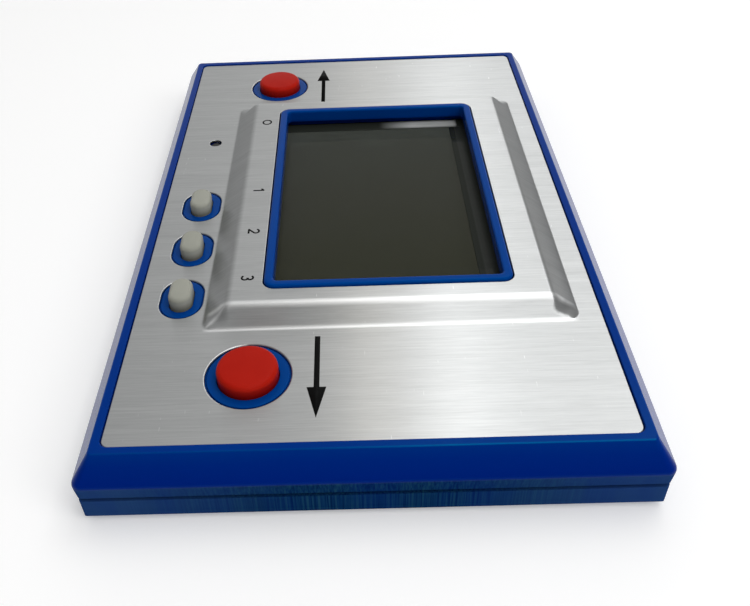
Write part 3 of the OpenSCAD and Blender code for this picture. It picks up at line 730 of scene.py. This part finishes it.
ringShells = [ringShell(cap, well) for cap, well in zip(capOutlines, wells)]
caseShell = joined([wallShell, deckShell, rimShell, *ringShells])
frontCase = makePiece("frontCase", caseShell, "console", caseBlue, "front_case")
edgeX, edgeY = caseHigh[:2] - caseShape["bevelRun"]
edgeCorners = [np.array([i * edgeX, j * edgeY, borderTop]) for i, j in ((1, -1), (1, 1), (-1, 1), (-1, -1))]
edgeLines = zip(edgeCorners, edgeCorners[1:] + edgeCorners[:1])
addWearAndHighlight(frontCase, [(a, b, caseShape["edgeWear"]) for a, b in edgeLines])
places = meshPlaces(frontCase.data)
inWell = np.max([outlineDistance(well, places[:, :2]) < 0 for well in wells], axis=0)
inWell &= places[:, 2] > deckTop - caseShape["wellDepth"]
addAttribute(frontCase, "inWell", inWell.astype(float))
print("stage: front case")

# face sheet: flat, with the raised panel as rings of the softened fold profile, and holes for what comes
# through
sheetOutline = outline((0, 0), sheetHigh[:2], sheetShape["cornerRadius"])
windowHole = grown(rimOutline, frameShape["sheetGap"])
wellEdges = [sheetShape["wellEdge"]] * len(buttonNodes) + [sheetShape["keyEdge"]] * len(keyNodes)
sheetEdge = roundEdge(sheetShape["edgeRadius"])
wells.append(grown(resetOutline, gap))
wellEdges.append(sheetEdge)
panelRun = np.array(sheetShape["panelRun"])
footHalf = np.array(sheetShape["panelHalf"]) + panelRun
panelTop = flatTop + sheetShape["panelHeight"]
meanRun = panelRun.mean()
foldProfile = softProfile(
    [
        (-sheetShape["bendMargin"] * sheetShape["footBend"], flatTop, sheetShape["footRadius"]),
        (0, flatTop, sheetShape["footRadius"]),
        (meanRun, panelTop, sheetShape["topRadius"]),
        (meanRun + sheetShape["bendMargin"] * sheetShape["topBend"], panelTop, sheetShape["topRadius"]),
    ],
    cuts=[0, sheetShape["footBend"], sheetShape["topBend"], 0],
    steps=sheetShape["foldSteps"],
    closed=False,
)
# rings up the slope, whose corners swell by 27/4 u (1-u)^2, which is nothing at both folds and one a third of
# the way up
slopeFoot = sheetShape["foldSteps"] + 1
upSlope = np.linspace(0, 1, sheetShape["slopeRings"] + 2)[1:-1, None]
slope = (1 - upSlope) * foldProfile[slopeFoot] + upSlope * foldProfile[slopeFoot + 1]
slope[:, 2:] += sheetShape["cornerSwell"] * 27 / 4 * upSlope * (1 - upSlope) ** 2
foldProfile = np.insert(foldProfile, slopeFoot + 1, slope, axis=0)


# Rings of the fold: the panel's foot outline less the profile's inset, shared out by each side's own run
def foldRings(profile):
    inset, height, radius = profile.T
    half = footHalf[None, :] - inset[:, None] * panelRun / meanRun
    flat = ringPoints(half[:, 0], half[:, 1], radius) + np.array(sheetShape["panelMiddle"])
    return np.concatenate([flat, np.broadcast_to(height[:, None, None], (*flat.shape[:2], 1))], -1)


folds = foldRings(foldProfile)
sheetLoops = list(folds)
sheetLoops += edgeLoops(sheetOutline, flatTop, sheetEdge, 1)
sheetLoops += edgeLoops(windowHole, panelTop, sheetEdge, -1)
for well, edge in zip(wells, wellEdges):
    sheetLoops += edgeLoops(well, flatTop, edge, -1, arcSteps=14)
sheetSkin = sheetTriangles(sheetLoops, sheetOutline, wells + [windowHole])
sheetShell = thickened(*sheetSkin, sheetShape["thickness"])
panelY = sheetShape["panelMiddle"][1]
sheetMetal = brushedSheet((footHalf[0], sheetShape["panelHalf"][0]), sheetShape["foldWearAndHighlight"],
                          (panelY - footHalf[1], panelY + footHalf[1]), sheetFinish)
faceSheet = makePiece("faceSheet", sheetShell, "console", sheetMetal, "face_plate")


def addFlatUv(piece, name):  # u along x and v along y, so the brush direction follows the sheet
    mesh = piece.data
    loopPoints = np.empty(len(mesh.loops), int)
    mesh.loops.foreach_get("vertex_index", loopPoints)
    layer = mesh.uv_layers.new(name=name)
    layer.data.foreach_set("uv", (meshPlaces(mesh)[loopPoints, :2] / sheetShape["uvSpan"]).ravel())


addFlatUv(faceSheet, "brushed")
# pale line up the near corner by the keys, painted highlight over some wear: the middle of that corner's arc
# in every ring of the fold
cornerLine = folds[slopeFoot:slopeFoot + sheetShape["slopeRings"] + 2, folds.shape[1] * 7 // 8]
addWearAndHighlight(faceSheet, [(a, b, sheetShape["cornerWearAndHighlight"]) for a, b in zip(cornerLine[:-1], cornerLine[1:])])
print("stage: face sheet")


# Caps: a flange that holds the cap in the case, a straight side, and over it a height that falls from the
# middle by the crown times the square of the way out, less a quarter circle of the soft radius at the edge
def capShell(node, soft, crown):
    shape = capOutline(node)
    foot, top = (corner[2] for corner in nodeBox(node))
    flange = capShape["flange"]
    flangeTop = foot + capShape["flangeThickness"]
    reach = shape["half"].min()
    turn = np.linspace(0, np.pi / 2, capShape["softSteps"] + 1)
    inward = np.linspace(soft, reach * capShape["crownReach"], capShape["crownSteps"] + 1)[1:]
    inset = np.append(soft * (1 - np.cos(turn)), inward)
    drop = np.append(soft * (1 - np.sin(turn)), np.zeros(len(inward)))
    height = top - crown * (1 - inset / reach) ** 2 - drop
    inset = np.append([-flange, -flange, 0, 0], inset)
    height = np.append([foot, flangeTop, flangeTop, height[0] - capShape["sideStep"]], height)
    radius = np.maximum(shape["radius"] - inset, leastRadius)
    profile = np.column_stack([inset, height, radius])
    return carryRound(shape, profile, closed=False, arcSteps=16)


capFinish = {  # two colours and roughness range of each, and the colour and share of the painted shade at the foot
    "redCap": ((0.43, 0.01, 0.004), (0.49, 0.014, 0.006), (0.34, 0.44)),
    "redFootShade": ((0.14, 0.0, 0.0, 1), 0.85),
    "greyRubber": ((0.355, 0.36, 0.31), (0.395, 0.4, 0.35), (0.5, 0.65)),
    "greyFootShade": ((0.08, 0.075, 0.055, 1), 0.8),
    "blackPin": ((0.01, 0.01, 0.01), (0.016, 0.016, 0.016), (0.4, 0.5)),
}


# Painted shade at the foot: the colour turns to a darker one from a height down to the foot, where shade
# falls in the well
def paintShadeAtFoot(material, foot, top, colour, share):
    tree = material.node_tree
    shader = tree.nodes["Principled BSDF"]
    plain = shader.inputs["Base Color"].links[0].from_socket
    footShade = mapped(objectAxes(tree)["Z"], share, 0.0, foot * mm, top * mm)
    setSockets(shader, {"Base Color": mixed(footShade, plain, colour)})


redCap = mouldedFinish("redCap", *capFinish["redCap"], bump=0.000002, gloss=0.05)
greyRubber = mouldedFinish("greyRubber", *capFinish["greyRubber"], gloss=0.25)
blackPin = mouldedFinish("blackPin", *capFinish["blackPin"])
buttonSide = nodeBox("right_button")[1][2] - capShape["button"][0]
# painted shade on the lower sides of the caps and keys, darker towards the foot
paintShadeAtFoot(redCap, flatTop, buttonSide, *capFinish["redFootShade"])
paintShadeAtFoot(greyRubber, flatTop, (flatTop + nodeBox("clock_key")[1][2]) / 2, *capFinish["greyFootShade"])
for node, body in buttonNodes.items():
    makePiece(node + "_cap", capShell(node, *capShape["button"]), body, redCap, node)
for node, body in keyNodes.items():
    makePiece(node + "_cap", capShell(node, *capShape["key"]), body, greyRubber, node)
resetShell = capShell("reset_button", *capShape["reset"])
makePiece("reset_pin", resetShell, "reset", blackPin, "reset_button")
print("stage: buttons and keys")

# margins of the display: dark strips on the lens's back, where the far one shows pale foil over part of its
# length and the one along the side is a line with grey beyond it
marginShape = {
    "rows": 90,
    "columns": 9,
    "thickness": 0.015,
    "aboveBack": 0.02,  # a strip's top over the lens's back
    # the pale foil comes up and goes along y over the lengths fadeIn and fadeOut, and at both sides over the
    # share sideFade of the width
    "foilEdge": {"spanX": (-21.15, -18.75), "spanY": (-11.6, 17.2), "bareY": (3.5, 15.5),
                 "fadeIn": 5.0, "fadeOut": 0.3, "sideFade": 0.2, "paleness": 1.0},
    "sideEdge": {"spanX": (-18.7, 20.6), "spanY": (14.2, 17.2), "bareY": (14.85, 18.0),
                 "fadeIn": 0.25, "fadeOut": 0.3, "sideFade": 0.0, "paleness": 0.04},
}


# Strip: a flat ring of points across x carried along y; the share of pale foil rises and falls along y, and
# towards the strip's two sides
def marginShell(m):
    y = np.linspace(*m["spanY"], marginShape["rows"])
    across = np.linspace(1, 0, marginShape["columns"])
    x = m["spanX"][0] + (m["spanX"][1] - m["spanX"][0]) * np.concatenate([[0, 1], across])
    top = lensLow[2] + marginShape["aboveBack"]
    z = top - marginShape["thickness"] * np.concatenate([[1, 1], np.zeros(len(across))])
    rings = np.stack(np.broadcast_arrays(x[None, :], y[:, None], z[None, :]), -1)
    along = np.clip((y - m["bareY"][0]) / m["fadeIn"], 0, 1)
    along *= np.clip((m["bareY"][1] - y) / m["fadeOut"], 0, 1)
    inside = np.ones(len(x))
    if m["sideFade"]:
        inside[2:] = np.clip(np.minimum(across, 1 - across) / m["sideFade"], 0, 1)
    inside *= m["paleness"]
    columns = len(x)
    last = (len(y) - 1) * columns
    faces = ringFaces(len(y), columns)
    faces += [list(range(columns))[::-1], list(range(last, last + columns))]
    return (rings.reshape(-1, 3), faces), (along[:, None] * inside).ravel()


marginFinish = displayMargin(displayFinish)
for stripName in ("foilEdge", "sideEdge"):
    stripShell, bareShare = marginShell(marginShape[stripName])
    strip = makePiece(stripName, stripShell, "console", marginFinish, evenNormals=False)
    addAttribute(strip, "bare", bareShare)

# printed marks: strokes and polygons a few hundredths of a millimetre thick
markShape = {
    "ink": 0.02,  # thickness
    "arrowY": -5.5,
    "arrowX": (27.6, 35.25, 39.45),  # tail, foot of the head and tip
    "arrowWidth": (0.62, 2.1),  # shaft and head
    "numeralX": (0.85, 10.2, 19.45),
    "numeralY": -14.6,  # foot of the numerals
    "numeralHeight": 1.5,
    "stroke": 0.24,
    "ringPlace": (-17.75, -13.9),
    "ringRadius": 0.62,
}


# Stroke: a flat strip of even width carried along a path, its edges half the width along the path's normal
def strokeShell(path, width, foot, thickness):
    path = np.asarray(path, float)
    along = np.gradient(path, axis=0)
    along /= np.linalg.norm(along, axis=1, keepdims=True)
    side = np.column_stack([along[:, 1], -along[:, 0]]) * width / 2
    level = np.full((len(path), 1), foot)
    corners = [np.hstack([path - side, level]), np.hstack([path + side, level]),
               np.hstack([path + side, level + thickness]), np.hstack([path - side, level + thickness])]
    points = np.stack(corners, 1).reshape(-1, 3)
    last = len(points) - 4
    faces = [face[::-1] for face in ringFaces(len(path), 4)]
    return points, faces + [[0, 1, 2, 3], [last + 3, last + 2, last + 1, last]]


def arcPath(middle, radius, start, end, steps=18):
    angle = np.radians(np.linspace(start, end, steps))
    return np.array(middle) + radius * np.column_stack([np.cos(angle), np.sin(angle)])


# Polygon slab: the flat polygon, the same one a thickness higher, and a wall along each side
def polygonShell(corners, foot, thickness):
    corners = np.asarray(corners, float)
    n = len(corners)
    points = np.concatenate([np.column_stack([corners, np.full(n, z)]) for z in (foot, foot + thickness)])
    return points, ringFaces(2, n) + [list(range(n))[::-1], list(range(n, 2 * n))]


numeralPaths = {  # strokes of each numeral in a box one unit high
    1: [[(-0.2, 0.72), (0.04, 0.95)], [(0.06, 1.0), (0.06, 0.0)]],
    2: [np.vstack([arcPath((0, 0.7), 0.26, 165, -35), [(-0.24, 0.1)]]), [(-0.32, 0.08), (0.32, 0.08)]],
    3: [arcPath((0, 0.7), 0.23, 150, -90), arcPath((0, 0.27), 0.25, 90, -150)],
}


def markShells(m):
    shells = []
    tail, neck, tip = m["arrowX"]
    shaft, head = (w / 2 for w in m["arrowWidth"])
    arrow = np.array([(tail, -shaft), (neck, -shaft), (neck, -head), (tip, 0), (neck, head), (neck, shaft),
                      (tail, shaft)]) + [0, m["arrowY"]]
    ground = flatTop - m["ink"] / 2
    shells.append(polygonShell(arrow, ground, m["ink"]))
    shells.append(polygonShell((arrow * [-1, 1])[::-1], ground, m["ink"]))
    ground = panelTop - m["ink"] / 2
    for x, strokes in zip(m["numeralX"], numeralPaths.values()):
        for path in strokes:
            place = np.asarray(path) * m["numeralHeight"] + [x, m["numeralY"]]
            shells.append(strokeShell(place, m["stroke"], ground, m["ink"]))
    circle = arcPath(m["ringPlace"], m["ringRadius"], 0, 360, 48)
    shells.append(strokeShell(circle, m["stroke"], ground, m["ink"]))
    return shells


blackInk = mouldedFinish("blackInk", (0.003, 0.003, 0.003), (0.006, 0.006, 0.006), (0.45, 0.6), bump=0,
                         gloss=0.05)
inkShell = joined(markShells(markShape))
makePiece("printedMarks", inkShell, "console", blackInk, evenNormals=False)
print("stage: marks")

# rear case and cover keep their CAD solids, with softened edges
softEdges = {
    "widths": {"rear_case": 0.15, "battery_cover": 0.08},
    "weld": 0.002,
    "flatAngle": 1,  # degrees up to which faces count as one
    "edgeAngle": 25,  # and from which an edge is softened
    "segments": 3,
}
for nodeName, width in softEdges["widths"].items():
    solid = frame["nodes"][nodeName]
    weld = solid.modifiers.new("weld", "WELD")
    weld.merge_threshold = softEdges["weld"] * mm
    flatten = solid.modifiers.new("flatten", "DECIMATE")
    flatten.decimate_type = "DISSOLVE"
    flatten.angle_limit = math.radians(softEdges["flatAngle"])
    bevel = solid.modifiers.new("softEdge", "BEVEL")
    bevel.width = width * mm
    bevel.segments = softEdges["segments"]
    bevel.limit_method = "ANGLE"
    bevel.angle_limit = math.radians(softEdges["edgeAngle"])
    bevel.use_clamp_overlap = True
    bevel.harden_normals = True

# finishes of the CAD nodes that stay
plainFinish = {  # material, two colours and roughness range of each slot
    "adhesive": ("adhesiveFilm", (0.7, 0.68, 0.6), (0.76, 0.74, 0.66), (0.5, 0.6)),
    "holder_plastic": ("whiteHolder", (0.7, 0.69, 0.65), (0.78, 0.77, 0.73), (0.4, 0.5)),
    "rubber": ("darkRubber", (0.05, 0.05, 0.05), (0.08, 0.08, 0.08), (0.6, 0.7)),
    "board": ("greenBoard", (0.02, 0.16, 0.05), (0.03, 0.22, 0.08), (0.3, 0.45)),
    "carbon": ("carbonPrint", (0.012, 0.012, 0.012), (0.02, 0.02, 0.02), (0.6, 0.7)),
    "chip": ("chipEpoxy", (0.014, 0.014, 0.015), (0.022, 0.022, 0.023), (0.5, 0.6)),
    "ceramic": ("ceramicDisc", (0.68, 0.66, 0.6), (0.76, 0.74, 0.68), (0.4, 0.5)),
    "capacitor_body": ("capacitorBody", (0.4, 0.26, 0.12), (0.48, 0.32, 0.16), (0.4, 0.5)),
    "resistor_body": ("resistorBody", (0.16, 0.09, 0.05), (0.2, 0.12, 0.07), (0.4, 0.5)),
}
metalFinish = {
    "reflector": ("reflectorFoil", (0.3, 0.31, 0.28), (0.36, 0.37, 0.33), (0.4, 0.5)),
    "bright_metal": ("brightMetal", (0.62, 0.62, 0.62), (0.72, 0.72, 0.71), (0.22, 0.34)),
    "brass": ("brassSheet", (0.6, 0.42, 0.16), (0.7, 0.5, 0.21), (0.25, 0.35)),
}
glassFinish = ("displayGlass", (0.03, 0.033, 0.028), (0.04, 0.043, 0.036), (0.05, 0.08))
slotFinish = {slot: mouldedFinish(*values) for slot, values in plainFinish.items()}
slotFinish.update({slot: mouldedFinish(*values, metallic=1.0) for slot, values in metalFinish.items()})
slotFinish["case_plastic"] = caseBlue
slotFinish["display_glass"] = mouldedFinish(*glassFinish, bump=0)
slotFinish["lens"] = clearLens(displayFinish)
slotFinish["polarizer"] = displayFilm(lensLow[0], lensHigh[0], displayFinish)
for part in frame["record"]["subparts"]:
    finish = slotFinish.get(part["material_slot"])
    if finish:
        mesh = frame["nodes"][part["node"]].data
        mesh.materials.clear()
        mesh.materials.append(finish)
print("stage: finishes")

# rubber domes under the caps: hollow, with a foot on the board
domeShape = {
    "footWidth": 0.8,
    "footHeight": 0.35,
    "ledge": 0.5,  # top of the foot, outside the slope
    "topShare": 0.55,  # radius of the flat top as a share of the foot's
    "skin": 0.2,  # slope's thickness at the top
    "roof": 0.55,  # thickness of the plunger that comes down on the pad
    "soft": 0.08,
}


# Dome: the softened profile goes out under the roof, down the hollow, round the foot and back up over the
# slope, and is turned round the dome's middle
def domeShell(low, high, d):
    foot = (high - low)[1] / 2
    top = foot * d["topShare"]
    base, peak = low[2], high[2]
    step = base + d["footHeight"]
    hollow = peak - d["roof"]
    line = np.array([
        (leastRadius, hollow),
        (top - d["skin"], hollow),
        (foot - d["footWidth"], base),
        (foot, base),
        (foot, step),
        (foot - d["ledge"], step),
        (top, peak),
        (leastRadius, peak),
    ])
    line = softProfile(line, [0] + [d["soft"]] * 6 + [0], closed=False)
    profile = np.column_stack([foot - line[:, 0], line[:, 1], line[:, 0]])
    circle = outline((low + high)[:2] / 2, (foot, foot), foot)
    return carryRound(circle, profile, closed=False, arcSteps=12)


for joint in frame["record"]["behaviour"]["joints"]:
    for soft in joint.get("deforming_nodes", []):
        low, high = nodeBox(soft["node"])
        shell = domeShell(low, high, domeShape)
        name = soft["node"] + "_rubber"
        dome = makePiece(name, shell, "console", slotFinish["rubber"], soft["node"])
        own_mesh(dome)
print("stage: domes")

# studio, in metres: a pale floor, a grey room, a wide soft box with two tubes and a narrow box beside it, and
# a key light from the side
studio = {
    "floorHalf": 3.0,
    "floorTone": (0.93, 0.93, 0.93, 1),
    "floorRoughness": 0.95,
    "floorDrop": 0.00002,  # so that the floor and the back don't share a plane
    "floorLift": 0.24,  # white added for the camera and for reflections only
    "roomFar": 0.74,  # grey of the room beyond the object
    "roomNear": 0.32,  # and behind the camera
    "roomDepth": (-0.7, 0.6),  # x of the directions between which the one turns into the other
    "roomSides": 0.4,  # share of it left towards both sides
    "roomWidth": (0.12, 0.85),  # y of the directions between which it falls to that
    "backdrop": 0.62,  # pale grey seen all round above the floor's edge
    "backdropTop": (0.12, 0.22),  # sine of the elevation where it starts to fade, and where it is gone
}
lamps = {
    "softBox": {"place": (0.2, 0.22, 0.6), "size": (1.4, 0.36), "radiance": 1.2},
    "warmTube": {"place": (0.2, 0.01, 0.59), "size": (1.4, 0.02), "radiance": 1.7, "tint": (1, 0.93, 0.82)},
    "tube": {"place": (0.2, 0.088, 0.59), "size": (1.4, 0.03), "radiance": 1.3},
    "sideBox": {"place": (0.2, 0.34, 0.59), "size": (1.4, 0.14), "radiance": 0.6},
    "sideKey": {"place": (0.45, 0.75, 0.7), "size": (0.5, 0.5), "radiance": 3.0, "aim": (0, 0, 0),
                "mirrored": False},  # flagged off the metal
}


def seenRays(tree):  # one for rays from the camera, from reflections and through glass
    rays = addNode(tree, "ShaderNodeLightPath").outputs
    seen = mathNode("MAXIMUM", rays["Is Camera Ray"], rays["Is Glossy Ray"])
    return mathNode("MAXIMUM", seen, rays["Is Transmission Ray"])


def addFloor(s):
    mesh = bpy.data.meshes.new("floor")
    corners = np.array([(-1, -1), (1, -1), (1, 1), (-1, 1)]) * s["floorHalf"]
    level = np.full(len(corners), -s["floorDrop"])
    mesh.from_pydata(np.column_stack([corners, level]).tolist(), [], [(0, 1, 2, 3)])
    material, tree, shader = newMaterial("paleFloor")
    setSockets(shader, {
        "Base Color": s["floorTone"],
        "Roughness": s["floorRoughness"],
        "Specular IOR Level": 0.0,
        "Emission Color": (1, 1, 1, 1),
        "Emission Strength": mapped(seenRays(tree), 0.0, s["floorLift"]),
    })
    mesh.materials.append(material)
    floor = bpy.data.objects.new("floor", mesh)
    scene.collection.objects.link(floor)


# Room: its grey falls from the far side (minus x) to the side behind the camera, and towards both ends of y,
# and a pale backdrop stands round the floor's edge
def addRoom(s):
    world = bpy.data.worlds.new("room")
    world.use_nodes = True
    tree = world.node_tree
    direction = addNode(tree, "ShaderNodeTexCoord").outputs["Generated"]
    axes = addNode(tree, "ShaderNodeSeparateXYZ", {"Vector": direction}).outputs
    depth = mapped(axes["X"], s["roomFar"], s["roomNear"], *s["roomDepth"])
    width = mapped(mathNode("ABSOLUTE", axes["Y"]), 1.0, s["roomSides"], *s["roomWidth"])
    grey = mathNode("MULTIPLY", depth, width)
    pale = mapped(axes["Z"], s["backdrop"], 0.0, *s["backdropTop"])
    low = mathNode("MULTIPLY", seenRays(tree), pale)
    sockets = {"Color": (1, 1, 1, 1), "Strength": mathNode("MAXIMUM", grey, low)}
    setSockets(tree.nodes["Background"], sockets)
    scene.world = world


# Lamp: its power is the radiance times pi times the area, and without an aim it points straight down
def addLamp(name, place, size, radiance, aim=None, tint=(1, 1, 1), mirrored=True):
    data = bpy.data.lights.new(name, "AREA")
    data.shape = "RECTANGLE"
    data.size, data.size_y = size
    data.energy = radiance * math.pi * size[0] * size[1]
    data.color = tint
    lamp = bpy.data.objects.new(name, data)
    lamp.visible_glossy = mirrored
    scene.collection.objects.link(lamp)
    lamp.location = place
    target = Vector(aim or (*place[:2], 0))
    lamp.rotation_euler = (target - Vector(place)).to_track_quat("-Z", "Y").to_euler()


addFloor(studio)
addRoom(studio)
for lampName, lampSetup in lamps.items():
    addLamp(lampName, **lampSetup)
scene.view_settings.view_transform = "Standard"
print("stage: studio")
